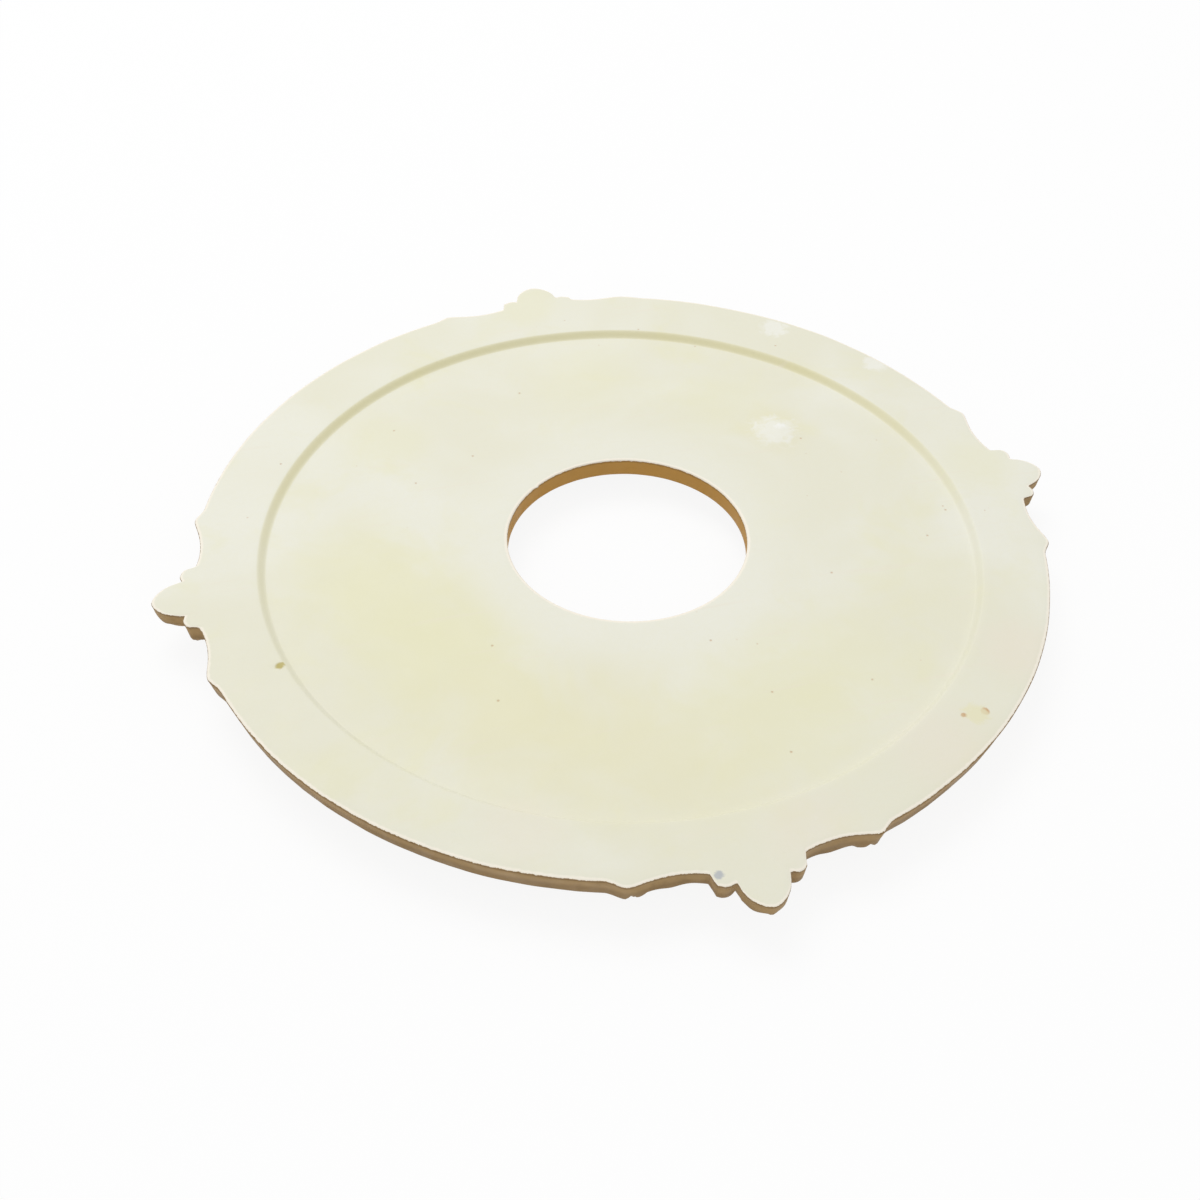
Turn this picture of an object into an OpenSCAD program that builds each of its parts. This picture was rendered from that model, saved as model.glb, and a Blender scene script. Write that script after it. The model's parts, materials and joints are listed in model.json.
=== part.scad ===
// Ceiling rose: a moulded ring with four leaf and scroll groups round its rim.
// The flat back lies in the plane z = 0 and the ornament hangs below it.

/* [Overall] */
// Diameter across the plain part of the rim
rose_d = 375; // [310:5:450]
// Diameter of the hole in the middle
hole_d = 107; // [60:1:130]
// Thickness of the rim at its outer edge
edge_t = 6; // [4:0.5:8]
// How far the side of the rim slopes inwards from the back to the front
edge_slope = 1.2; // [0:0.1:2]
// Radius of the softened outer edges
edge_round = 0.9; // [0.4:0.1:1.6]

/* [Back] */
// Width of the flat ring that lies against the ceiling
rim_w = 26.5; // [22:0.5:40]
// Depth of the recess inside that ring
recess_depth = 3.2; // [1.2:0.2:4.2]
// Width of the slope from the ring down to the recess
step_run = 3.6; // [1.2:0.2:6]
// Thickness of the disc at the hole, from the recess to the front
hole_wall = 9.4; // [6.6:0.2:11]
// Thickness of the plain field, from the recess to the front
field_t = 6.3; // [4.5:0.1:7.5]

/* [Outer mouldings] */
// Radius of the bead along the outer edge, from one leaf group to the next
bead_r = 4; // [3:0.1:4.8]
// How far the outer side of that bead lies inside the rim's back edge
bead_inset = 2.1; // [1.6:0.1:3]
// Depth from the back to the front of that bead
bead_t = 13.2; // [12:0.1:14]
// Width of the flat band beside the outer edge
band_w = 7; // [5:0.5:9]
// Radius of the hollow between the band and the large round
cove_r = 6.5; // [4:0.5:8]
// Width of the small flats beside the large round
fillet_w = 2.4; // [1:0.2:4]
// Radius of the large round
round_r = 8.6; // [7:0.2:10]
// How far the large round stands in front of the flats beside it
round_proud = 7.4; // [5:0.2:8]
// Radius of the thin round between the large round and the field
astragal_r = 3.2; // [2:0.2:4]

/* [Hole mouldings] */
// Width of the flat collar beside the hole
collar_w = 5.5; // [3:0.5:9]
// Radius of the round outside the collar
ring_r = 5.2; // [4:0.2:6.4]
// How far that round stands in front of the collar
ring_proud = 4.2; // [2:0.2:5]
// Width of the flat step between that round and the field
ring_step_w = 3.4; // [1:0.2:6]

/* [Leaf at the rim] */
// Number of leaf groups round the rim
groups = 4; // [3:1:6]
// How far a leaf tip stands out past the rim
leaf_reach = 15.4; // [10:0.2:20]
// Radius of the two arcs that bound the leaf
leaf_arc_r = 14; // [12:0.5:20]
// Half the leaf's greatest width
leaf_half_w = 9.6; // [7:0.2:11]
// Thickness of the leaf at its middle
leaf_t = 10.8; // [8:0.2:13]
// How much thinner the leaf is at its tip
leaf_fall = 5.6; // [3:0.2:7]
// How far the flat shoulder on both sides of the leaf stands out past the rim
shoulder_reach = 3.8; // [1:0.2:6]

/* [Scrolls at the rim] */
// Distance along the rim from the leaf's axis to the knob beside it
knob_at = 13.4; // [11:0.1:16]
// Radius of that knob
knob_r = 4.3; // [3:0.1:5]
// Depth from the back to the front of that knob
knob_t = 11.3; // [9:0.1:13]
// How far the knob stands out past the rim
knob_reach = 4.5; // [2:0.1:6]
// Distance along the rim from the leaf's axis to the middle of the scroll
hollow_at = 27.6; // [25:0.1:30]
// Radius of the scroll's hollow side
hollow_r = 36; // [28:1:44]
// Depth that the hollow bites into the rim
hollow_bite = 3.1; // [1.4:0.1:4]
// Distance along the rim from the leaf's axis to the scroll's outer point
cusp_at = 47; // [45:0.1:52]
// How far that point stands out past the rim
cusp_reach = 2.3; // [1:0.1:4]
// Distance along the rim over which the point dies away
cusp_tail = 10; // [6:0.5:14]
// Radius of the rounded rib that the scroll is made of
rib_r = 3.7; // [2.6:0.1:4.4]
// Depth from the back to the front of that rib
rib_t = 10.2; // [8:0.2:12]
// Radius of the boss at the outer end of the scroll
boss_r = 4.6; // [3.6:0.1:5]
// Depth from the back to the front of that boss
boss_t = 11.7; // [9:0.1:13]

/* [Leaves over the mouldings] */
// Length of the middle leaf that points to the hole
inner_len = 47; // [38:1:54]
// Half width of the middle leaf
inner_half_w = 9.6; // [7:0.2:12]
// Depth from the back to the front of the middle leaf
inner_t = 23; // [21:0.5:26]
// How much less deep the middle leaf is at its ends
inner_fall = 7; // [5:0.5:9]
// Length of the leaf on each side of it
flank_len = 38; // [30:1:46]
// Half width of each flanking leaf
flank_half_w = 7.8; // [6:0.2:10]
// Depth from the back to the front of each flanking leaf
flank_t = 21.6; // [19:0.2:24]
// How much less deep a flanking leaf is at its ends
flank_fall = 6; // [4:0.5:8]
// Angle between the middle leaf and a flanking leaf
flank_angle = 36; // [28:1:44]
// Distance along the rim from the leaf's axis to the middle of the long leaf beside it
trail_at = 42; // [36:1:48]
// Length of the long leaf that lies along the rim
trail_len = 50; // [36:1:60]
// Half width of that leaf
trail_half_w = 5.6; // [4:0.2:7]
// Depth from the back to the front of that leaf
trail_t = 15.4; // [13:0.2:18]
// How much less deep that leaf is at its ends
trail_fall = 5; // [3:0.5:7]
// Radius of the rib down the middle of a leaf
vein_r = 1.1; // [0.6:0.1:1.6]

/* [Hidden] */
$fn = 96;
eps = 0.5;

cream = [0.91, 0.90, 0.83];
rim_r = rose_d / 2;
hole_r = hole_d / 2;
ring_in_r = rim_r - rim_w;
floor_r = ring_in_r - step_run;

// Heights of the front faces, all below the back plane
band_z = -edge_t;
fillet_z = band_z - cove_r;
field_z = -(recess_depth + field_t);
collar_z = -(recess_depth + hole_wall);
round_z = fillet_z - round_proud + round_r;
ring_z = collar_z - ring_proud + ring_r;
step_z = (field_z + collar_z) / 2;
astragal_z = field_z - 0.2 * astragal_r;

// Radii of the mouldings, from the rim inwards and from the hole outwards
astragal_lap = 0.8;
cove_c = rim_r - band_w;
round_half_w = sqrt(pow(round_r, 2) - pow(round_r - round_proud, 2));
round_c = cove_c - cove_r - fillet_w - round_half_w;
fillet_in_r = round_c - round_half_w - fillet_w;
astragal_c = fillet_in_r - astragal_lap * astragal_r;
ring_half_w = sqrt(pow(ring_r, 2) - pow(ring_r - ring_proud, 2));
ring_c = hole_r + collar_w + ring_half_w;
ring_out_r = ring_c + ring_half_w + ring_step_w;
bead_c = rim_r - bead_inset - bead_r;

// Leaf groups
leaf_tip = rim_r + leaf_reach;
leaf_c = leaf_tip - sqrt(pow(leaf_arc_r, 2) - pow(leaf_arc_r - leaf_half_w, 2));
hollow_c = rim_r - hollow_bite + hollow_r;
rib_inset = 0.4;
rib_c = hollow_r + rib_inset + rib_r;
rib_z = rib_r - rib_t;
boss_inset = 1.6;
boss_back = 1.5;
button_soft = 1.8;
eye_r = 1.5;
eye_proud = 0.7;
hub_inset = 6;
hub_r = rim_r - hub_inset;
hub_spread = 4;
root_len = 12;
cover = 1;
vein_sunk = 0.33;
inside_z = -(recess_depth + cover);

// A distance along the rim, as an angle about the middle of the rose
function turn(along) = along / rim_r * 180 / PI;
// A point at a distance along the rim and a distance from the middle of the rose
function spot(along, r) = [r * cos(turn(along)), r * sin(turn(along))];
// Radius of an arc from its half chord and its height
function arc_r(half_chord, height) = (pow(half_chord, 2) + pow(height, 2)) / (2 * height);

// Flat ring with a sloping side and both outer edges rounded
module rim_section() {
    soft_r = rim_r - edge_round;
    polygon([[floor_r, 0], [soft_r, 0], [rim_r, -edge_round], [rim_r - edge_slope, band_z + edge_round],
        [soft_r - edge_slope, band_z], [floor_r, band_z]]);
    translate([soft_r, -edge_round]) circle(edge_round);
    translate([soft_r - edge_slope, band_z + edge_round]) circle(edge_round);
}

// Half section of the turned disc: x is the radius and y the height
module disc_section() {
    difference() {
        union() {
            rim_section();
            translate([fillet_in_r, fillet_z])
                square([cove_c - fillet_in_r, eps - fillet_z - recess_depth]);
            polygon([[hole_r, -recess_depth], [floor_r + eps, -recess_depth],
                [floor_r + eps, field_z], [ring_out_r, field_z], [ring_out_r, step_z],
                [ring_c, step_z], [ring_c, collar_z], [hole_r, collar_z]]);
            translate([round_c, round_z]) circle(round_r);
            translate([astragal_c, astragal_z]) circle(astragal_r);
            translate([ring_c, ring_z]) circle(ring_r);
        }
        translate([cove_c, fillet_z]) circle(cove_r);
        polygon([[hole_r - eps, eps], [ring_in_r + step_run * eps / recess_depth, eps],
            [floor_r, -recess_depth], [hole_r - eps, -recess_depth]]);
    }
}

// The disc without its leaf groups, bitten into beside each leaf
module disc() {
    difference() {
        rotate_extrude($fn = 180) disc_section();
        each_group() both_sides() hollow_cut();
    }
}

// Bead along the edge, between the outer points of two neighbouring groups
module rim_bead() {
    rotate(turn(cusp_at)) rotate_extrude(angle = 360 / groups - 2 * turn(cusp_at), $fn = 180)
        translate([bead_c, bead_r - bead_t]) circle(bead_r, $fn = 48);
}

// What the scroll's hollow side cuts out of the rim
module hollow_cut() {
    rotate(turn(hollow_at)) translate([hollow_c, 0, fillet_z])
        cylinder(h = cover - fillet_z, r = hollow_r);
}

module each_group() {
    for (i = [0 : groups - 1]) rotate(i * 360 / groups) children();
}

module both_sides() {
    children();
    mirror([0, 1, 0]) children();
}

// Outline between two arcs that meet in a point at each end, along x
module leaf_plan(half_len, half_w) {
    r = arc_r(half_len, half_w);
    intersection_for (side = [-1, 1]) translate([0, side * (r - half_w)]) circle(r);
}

// Leaf with a rounded front, its length along x and its middle at the origin
module leaf(half_len, half_w, depth, fall, top) {
    crown = arc_r(half_len, fall);
    intersection() {
        translate([0, 0, -depth - cover]) linear_extrude(depth + cover + top) leaf_plan(half_len, half_w);
        translate([0, 0, crown - depth]) sphere(crown);
    }
    vein(half_len, depth, crown);
}

// Rib that follows the rounded front of a leaf along its middle
module vein(half_len, depth, crown) {
    half_angle = asin((half_len - 2 * vein_r) / crown);
    translate([0, 0, crown - depth]) rotate([-90, 0, 0]) rotate(90 - half_angle)
        rotate_extrude(angle = 2 * half_angle) translate([crown - vein_sunk, 0]) circle(vein_r, $fn = 24);
}

// The leaf that stands out past the rim, its back in the plane of the ceiling
module rim_leaf() {
    half_len = leaf_tip - leaf_c;
    root = hub_r - root_len;
    intersection() {
        translate([leaf_c, 0, 0]) leaf(half_len, leaf_half_w, leaf_t, leaf_fall, 0);
        translate([root, -leaf_half_w, -leaf_t - 2 * vein_r])
            cube([leaf_tip - root, 2 * leaf_half_w, leaf_t + 2 * vein_r]);
    }
}

// Flat shoulder behind the leaf, from knob to knob
module shoulder() {
    translate([0, 0, band_z]) intersection() {
        cylinder(h = edge_t, r = rim_r + shoulder_reach);
        translate([hub_r, -knob_at, 0]) cube([rim_r, 2 * knob_at, edge_t]);
    }
}

// Round button with a softened front edge and a small eye, at a place beside the rim
module button(along, centre, r, depth, top) {
    at = spot(along, centre);
    translate([at[0], at[1], -depth]) {
        rotate_extrude() {
            square([r - button_soft, depth + top]);
            translate([0, button_soft]) square([r, depth + top - button_soft]);
            translate([r - button_soft, button_soft]) circle(button_soft);
        }
        translate([0, 0, -eye_proud]) cylinder(h = eye_proud + cover, r = eye_r);
    }
}

// Knob between the leaf and the scroll
module knob() {
    button(knob_at, rim_r + knob_reach - knob_r, knob_r, knob_t, 0);
}

// Flat point at the outer end of the scroll
module cusp() {
    difference() {
        translate([0, 0, band_z]) linear_extrude(edge_t) polygon([
            spot(hollow_at, hub_r), spot(hollow_at, rim_r), spot(cusp_at, rim_r + cusp_reach),
            spot(cusp_at + cusp_tail, rim_r - edge_round / 2), spot(cusp_at + cusp_tail, hub_r)]);
        hollow_cut();
    }
}

// Rounded rib along the hollow, from the knob to the boss at its outer end
module scroll() {
    boss_at = cusp_at - boss_back;
    half_angle = asin((boss_at - hollow_at) / rib_c);
    rotate(turn(hollow_at)) translate([hollow_c, 0, rib_z]) rotate(180 - half_angle)
        rotate_extrude(angle = 2 * half_angle) translate([rib_c, 0]) circle(rib_r, $fn = 48);
    button(boss_at, rim_r + cusp_reach - boss_inset - boss_r, boss_r, boss_t, -cover);
}

// Three leaves that lie over the large round and point inwards
module inner_leaves() {
    translate([hub_r - inner_len / 2, 0, 0])
        leaf(inner_len / 2, inner_half_w, inner_t, inner_fall, inside_z);
    both_sides() translate([hub_r, hub_spread, 0]) rotate(-flank_angle) translate([-flank_len / 2, 0, 0])
        leaf(flank_len / 2, flank_half_w, flank_t, flank_fall, inside_z);
}

// Long leaf that lies along the rim, over the hollow moulding
module trail_leaf() {
    rotate(turn(trail_at)) translate([cove_c - cove_r / 2, 0, 0]) rotate(90)
        leaf(trail_len / 2, trail_half_w, trail_t, trail_fall, inside_z);
}

module leaf_group() {
    rim_leaf();
    shoulder();
    inner_leaves();
    both_sides() {
        knob();
        cusp();
        scroll();
        trail_leaf();
    }
}

module ceiling_rose() {
    color(cream) {
        disc();
        each_group() {
            leaf_group();
            rim_bead();
        }
    }
}

ceiling_rose();
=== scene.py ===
"""Looks of a moulded ceiling rose, face down: bare cream back, painted edges, hole and front."""

import json
import math
from collections import namedtuple

import bpy
import numpy as np
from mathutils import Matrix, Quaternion, Vector


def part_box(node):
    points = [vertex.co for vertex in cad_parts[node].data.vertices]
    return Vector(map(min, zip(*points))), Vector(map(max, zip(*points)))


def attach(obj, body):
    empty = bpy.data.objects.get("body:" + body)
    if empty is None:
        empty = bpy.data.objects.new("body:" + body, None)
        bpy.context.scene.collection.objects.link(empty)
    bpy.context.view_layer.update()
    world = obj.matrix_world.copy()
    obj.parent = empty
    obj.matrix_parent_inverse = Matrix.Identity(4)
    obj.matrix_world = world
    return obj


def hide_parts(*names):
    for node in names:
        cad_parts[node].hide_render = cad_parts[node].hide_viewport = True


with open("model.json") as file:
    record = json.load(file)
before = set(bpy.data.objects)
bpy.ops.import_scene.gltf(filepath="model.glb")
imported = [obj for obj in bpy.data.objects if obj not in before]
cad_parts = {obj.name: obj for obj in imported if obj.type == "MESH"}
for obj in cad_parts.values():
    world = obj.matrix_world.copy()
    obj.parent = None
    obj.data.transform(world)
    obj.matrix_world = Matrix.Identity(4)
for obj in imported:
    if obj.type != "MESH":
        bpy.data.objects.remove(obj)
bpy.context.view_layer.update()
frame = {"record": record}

MM = 0.001

# Endings of the names below: R radius, C radius of a centre line, D depth below the back,
# T thickness, W width, H height of a wave


# ---------------- sizes, in millimetres, from the frame

def mount_size(name, key):
    """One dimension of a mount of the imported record."""
    mount = next(m for m in frame["record"]["mounts"] if m["name"] == name)
    return mount["dims"][key]


LOW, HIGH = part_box("ceiling_rose")
# How far the CAD's leaves stand out past the plain rim
LEAF_REACH = 15.4
TIP_R = HIGH.x / MM
RIM_R = TIP_R - LEAF_REACH
HOLE_R = mount_size("fixture_hole", "r_mm")
HOLE_WALL = mount_size("fixture_hole", "length_mm")
LOWEST = LOW.z / MM

# Back: a flat rim, a recessed floor, and between them a step that is a little off centre
RIM_W = 28.7
RIM_IN_R = RIM_R - RIM_W
RIM_START_R, RIM_TURN_R = RIM_IN_R + 2.4, RIM_R - 9.0
STEP_RUN, STEP_LIP = 3.0, 0.4
STEP_OFF = (-1.45, -2.55)
# Darkness of the step's tint: a yellow stain and painted shade
STEP_STAIN_AND_SHADE = 0.72
FLOOR_R = RIM_IN_R - STEP_RUN
RECESS = 3.2
EDGE_T, PLATE_THIN = 6.0, 2.4
EDGE_ROUND, EDGE_DROOP = 0.8, 0.25
SIDE_SLOPE, FOOT_INSET = 0.15, 1.6

# Bead along the outer edge, between the groups
BEAD_R, BEAD_INSET, BEAD_T = 4.0, 2.1, 13.2
BEAD_C, BEAD_D = RIM_R - BEAD_INSET - BEAD_R, BEAD_T - BEAD_R
BEAD_SINK = 20.0

# Front mouldings: depths are measured from the back plane
COVE_C, COVE_R = RIM_R - 7.0, 6.5
FILLET_D = EDGE_T + COVE_R
FILLET_W = 2.4
ROUND_R, ROUND_PROUD = 8.6, 7.4
ROUND_HALF = math.sqrt(ROUND_R**2 - (ROUND_R - ROUND_PROUD)**2)
ROUND_C = COVE_C - COVE_R - FILLET_W - ROUND_HALF
ROUND_D = FILLET_D + ROUND_PROUD - ROUND_R
FILLET_IN_R = ROUND_C - ROUND_HALF - FILLET_W
FIELD_D = RECESS + 6.3
ASTRAGAL_R = 3.2
ASTRAGAL_C, ASTRAGAL_D = FILLET_IN_R - 0.8 * ASTRAGAL_R, FIELD_D + 0.2 * ASTRAGAL_R
COLLAR_D = RECESS + HOLE_WALL
COLLAR_W = 5.5
RING_R, RING_PROUD = 5.2, 4.2
RING_HALF = math.sqrt(RING_R**2 - (RING_R - RING_PROUD)**2)
RING_C, RING_D = HOLE_R + COLLAR_W + RING_HALF, COLLAR_D + RING_PROUD - RING_R
STEP_OUT_R, STEP_D = RING_C + RING_HALF + 3.4, (FIELD_D + COLLAR_D) / 2

# Leaf groups: distances "along" are measured on the rim from the group's axis
GROUP_TURN = 90.0
LEAF_ARC_R, LEAF_HALF_W = 14.0, 9.6
LEAF_T, LEAF_FALL = 10.8, 5.6
LEAF_BLUNT, LEAF_FOOT = 1.4, 2.0
KNOB_AT, KNOB_R, KNOB_T = 13.4, 4.3, 11.3
SHOULDER_PAST, SHOULDER_DROP, SHOULDER_FALL = 0.3, 0.8, 3.0
HOLLOW_AT, HOLLOW_R, HOLLOW_BITE = 27.6, 36.0, 3.1
CUSP_AT, CUSP_TAIL = 47.0, 10.0
HOLLOW_END, TAIL_FROM = CUSP_AT - 12.0, CUSP_AT + 6.0
BEAD_FROM, BEAD_FULL = CUSP_AT - 2.0, CUSP_AT + 2.5
RIB_R, RIB_T = 3.7, 10.2
BOSS_R, BOSS_T, BOSS_BACK = 4.6, 11.7, 1.5
HUB_R, HUB_SPREAD = RIM_R - 6.0, 4.0
FRONT_TURN_R, RELIEF_IN_R = RIM_R - 11.0, HUB_R - 49.0

# Carved leaves: size, greatest depth, how much lower the ends are, and the number of lobes
Leaf = namedtuple("Leaf", "length half_w depth fall lobes")
TRAIL_LEAF = Leaf(length=50.0, half_w=5.6, depth=15.4, fall=5.0, lobes=5)
SIDE_LEAF = Leaf(length=38.0, half_w=7.8, depth=21.6, fall=6.0, lobes=4)
MIDDLE_LEAF = Leaf(length=47.0, half_w=9.6, depth=22.8, fall=7.0, lobes=5)
TRAIL_FROM = 17.0
SIDE_LEAF_TURN = 36.0
# Cuts in a leaf: its side grooves, the raised vein and the furrow on each side of the vein
Cuts = namedtuple("Cuts", "groove vein furrow")
LEAF_CUTS = Cuts(groove=1.5, vein=0.9, furrow=0.7)
RIM_LEAF_CUTS = Cuts(groove=1.3, vein=0.7, furrow=0.6)

# One side of a group: how deep its hollow is and how far its cusp stands out
Side = namedtuple("Side", "bite cusp")
# A group's shift along the rim, the reach of its leaf and its shoulders, and its thickness
Group = namedtuple("Group", "shift tip shoulder thick right left")
# The four groups, anticlockwise from +X. They came out of the mould a little uneven.
GROUPS = (
    Group(shift=-0.6, tip=15.8, shoulder=5.8, thick=0.66,
        right=Side(bite=1.9, cusp=3.2), left=Side(bite=2.3, cusp=3.0)),
    Group(shift=1.3, tip=13.4, shoulder=3.0, thick=1.0,
        right=Side(bite=1.5, cusp=0.9), left=Side(bite=3.9, cusp=1.8)),
    Group(shift=-0.5, tip=16.0, shoulder=4.1, thick=1.0,
        right=Side(bite=3.1, cusp=2.7), left=Side(bite=2.5, cusp=2.3)),
    Group(shift=0.8, tip=17.6, shoulder=5.2, thick=0.95,
        right=Side(bite=2.5, cusp=2.9), left=Side(bite=3.1, cusp=3.3)),
)

Dent = namedtuple("Dent", "x y width rise")
# Raised and sunk flaws of the back: place in rim radii, width and rise in millimetres
DENTS = (
    Dent(0.492, 0.320, 3.0, 0.4),
    Dent(0.474, 0.310, 10.0, 0.7),
    Dent(-0.830, -0.251, 1.1, -0.8),
    Dent(0.61, 0.733, 2.4, -0.25),
    Dent(0.83, 0.513, 2.2, -0.25),
)
# A sliver of flash in the hole: its angle, its width in radians, its reach
BURR_AT, BURR_W, BURR_REACH = math.radians(127.4), 0.022, 1.3
# Heights of the unevenness: back, its grain, front, mouldings, outline, side and bore
BACK_H, GRAIN_H, FRONT_H, TURNED_H = 0.22, 0.04, 0.15, 0.12
OUTLINE_H, SIDE_H, BORE_H = 0.25, 0.18, 0.12
HAND_TURN = 0.004
# Raggedness of the hole's edge, and how much more it is on the far side
NICK_H, NICK_MORE = 0.03, 0.04


# ---------------- small curve helpers

def smoothstep(low, high, x):
    t = np.clip((x - low) / (high - low), 0.0, 1.0)
    return t * t * (3.0 - 2.0 * t)


def bump(x, width):
    return np.exp(-(x / width)**2)


def soft_max(a, b, blend):
    """The larger of two heights, with the inner corner between them filled by a small round."""
    gap = np.clip(0.5 + 0.5 * (a - b) / blend, 0.0, 1.0)
    return b + (a - b) * gap + blend * gap * (1.0 - gap)


def soft_min(a, b, blend):
    return -soft_max(-a, -b, blend)


def half_round(distance, radius):
    """Height of a circle's edge over its centre, and far below it beyond the radius."""
    inside = radius**2 - distance**2
    return np.where(inside > 0.0, np.sqrt(np.maximum(inside, 0.0)), -radius)


class Ripple:
    """A smooth random field: plane waves of seeded directions and phases, within about -1 to 1."""

    def __init__(self, seed, shortest, longest, waves=9):
        rng = np.random.default_rng(seed)
        turn = rng.uniform(0.0, 2.0 * math.pi, waves)
        size = 2.0 * math.pi / rng.uniform(shortest, longest, waves)
        self.kx, self.ky = size * np.cos(turn), size * np.sin(turn)
        self.phase = rng.uniform(0.0, 2.0 * math.pi, waves)

    def __call__(self, x, y):
        total = sum(np.sin(kx * x + ky * y + p) for kx, ky, p in zip(self.kx, self.ky, self.phase))
        return total / (0.8 * len(self.phase))


BACK_WAVES = Ripple(1, 70.0, 190.0)
BACK_GRAIN = Ripple(2, 12.0, 34.0, 14)
FRONT_WAVES = Ripple(3, 14.0, 60.0, 12)
EDGE_WAVES = Ripple(4, 16.0, 50.0, 12)
HAND = Ripple(5, 40.0, 110.0)


# ---------------- outline

def group_frame(angle):
    """Index of the nearest group, and the angle from its axis in radians."""
    turns = np.degrees(angle) / GROUP_TURN
    index = np.rint(turns).astype(int)
    local = np.radians((turns - index) * GROUP_TURN)
    return index % len(GROUPS), local


def per_group(index, field):
    return np.array([getattr(g, field) for g in GROUPS])[index]


def per_side(index, left, field):
    """A size of each group's right or left side."""
    sides = [[getattr(g.right, field), getattr(g.left, field)] for g in GROUPS]
    return np.array(sides)[index, left.astype(int)]


def rim_leaf_edge(along, tip):
    """How far the leaf's two arcs stand out past the rim. Beside the leaf it is well inside."""
    arc_mid = LEAF_ARC_R - LEAF_HALF_W
    height = math.sqrt(LEAF_ARC_R**2 - arc_mid**2)
    blunt = np.sqrt(along**2 + LEAF_BLUNT**2) - 0.4
    inside = np.maximum(LEAF_ARC_R**2 - (blunt + arc_mid)**2, 0.0)
    reach = np.sqrt(inside) / height * (tip - LEAF_FOOT) + LEAF_FOOT
    return np.where(np.abs(along) < LEAF_HALF_W, reach, -6.0)


def outline(angle):
    """Radius of the rose's outer edge at each angle."""
    index, local = group_frame(angle)
    along = local * RIM_R - per_group(index, "shift")
    far = np.abs(along)
    bite, cusp = (per_side(index, along > 0.0, field) for field in ("bite", "cusp"))
    hollow = -bite + (far - HOLLOW_AT)**2 / (2.0 * HOLLOW_R)
    tail = cusp * (1.0 - smoothstep(CUSP_AT, CUSP_AT + CUSP_TAIL, far))
    edge = np.where(far < HOLLOW_END, hollow, soft_min(hollow, tail, 2.0))
    edge = np.where(far > TAIL_FROM, tail, edge)
    reach = per_group(index, "shoulder")
    knob = reach - KNOB_R + half_round(far - KNOB_AT, KNOB_R)
    slant = (KNOB_AT + KNOB_R + SHOULDER_PAST - far) * SHOULDER_FALL
    shoulder = np.minimum(reach - SHOULDER_DROP, slant)
    edge = soft_max(edge, np.maximum(shoulder, knob), 0.9)
    edge = soft_max(edge, rim_leaf_edge(along, per_group(index, "tip")), 0.7)
    x, y = RIM_R * np.cos(angle), RIM_R * np.sin(angle)
    return RIM_R + edge + OUTLINE_H * EDGE_WAVES(x, y)


# ---------------- front relief, as depth below the back plane

def moulding_depth(r):
    """Depth of the turned mouldings of the outer part."""
    depth = np.full_like(r, FIELD_D)
    depth = np.maximum(depth, ASTRAGAL_D + half_round(r - ASTRAGAL_C, ASTRAGAL_R))
    depth = np.where(r > FILLET_IN_R, FILLET_D, depth)
    depth = np.maximum(depth, ROUND_D + half_round(r - ROUND_C, ROUND_R))
    cove = FILLET_D - half_round(np.minimum(r, COVE_C) - COVE_C, COVE_R)
    plate = EDGE_T - PLATE_THIN * smoothstep(RIM_R - 1.0, RIM_R + 4.0, r)
    return np.where(r > COVE_C - COVE_R, np.maximum(cove, plate), depth)


def bead_share(angle):
    """1 on the plain rim, where the bead runs, and 0 within a leaf group."""
    index, local = group_frame(angle)
    far = np.abs(local * RIM_R - per_group(index, "shift"))
    return smoothstep(BEAD_FROM, BEAD_FULL, far)


def leaf_relief(base, s, t, leaf):
    """Depth of a lobed leaf laid over a base: s runs from its root to its tip and t across it."""
    length, half_w, depth, fall, lobes = leaf
    half = length / 2.0
    arc = (half**2 + half_w**2) / (2.0 * half_w)
    u = np.clip(s / length, 0.0, 1.0)
    envelope = np.sqrt(np.maximum(arc**2 - (s - half)**2, 0.0)) - (arc - half_w)
    inside = (s > 0.0) & (s < length)
    rough = np.clip(np.abs(t) / np.maximum(envelope, 0.3), 0.0, 1.5)
    scallop = np.abs(np.sin(math.pi * (lobes * u - 0.9)))
    width = envelope * (0.80 + 0.20 * np.sqrt(scallop))
    q = np.clip(np.abs(t) / np.maximum(width, 0.3), 0.0, 1.0)
    pillow = np.sqrt(1.0 - q**4)
    crown = depth - fall * ((s - half) / half)**2
    groove = 1.0 - np.sqrt(np.abs(np.sin(math.pi * (lobes * u - 0.9 * rough))))
    sides = smoothstep(0.12, 0.55, rough)
    furrow = LEAF_CUTS.furrow * bump(np.abs(t) - 2.1, 0.8) * (1.0 - u * 0.6)
    crown = crown - LEAF_CUTS.groove * groove * sides - 0.9 * q**2
    crown = crown + LEAF_CUTS.vein * bump(t, 1.0) - furrow
    height = base + (crown - base) * pillow
    return np.where(inside & (q < 1.0), np.maximum(height, base), base)


def turned(x, y, x0, y0, degrees):
    """A point's place along and across an axis that starts at (x0, y0) and points inwards."""
    a = math.radians(degrees)
    dx, dy = x0 - x, y - y0
    return dx * math.cos(a) + dy * math.sin(a), dy * math.cos(a) - dx * math.sin(a)


def button_relief(base, x, y, along, centre, radius, depth):
    """Depth of a round button with a sunk ring about its eye."""
    turn = along / RIM_R
    distance = np.hypot(x - centre * np.cos(turn), y - centre * np.sin(turn))
    q = np.clip(distance / radius, 0.0, 1.0)
    top = depth - 0.7 * bump(distance - 0.55 * radius, 0.6) + 0.3 * bump(distance, 1.3)
    height = base + (top - base) * np.sqrt(1.0 - q**3)
    return np.where(q < 1.0, np.maximum(base, height), base)


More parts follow.
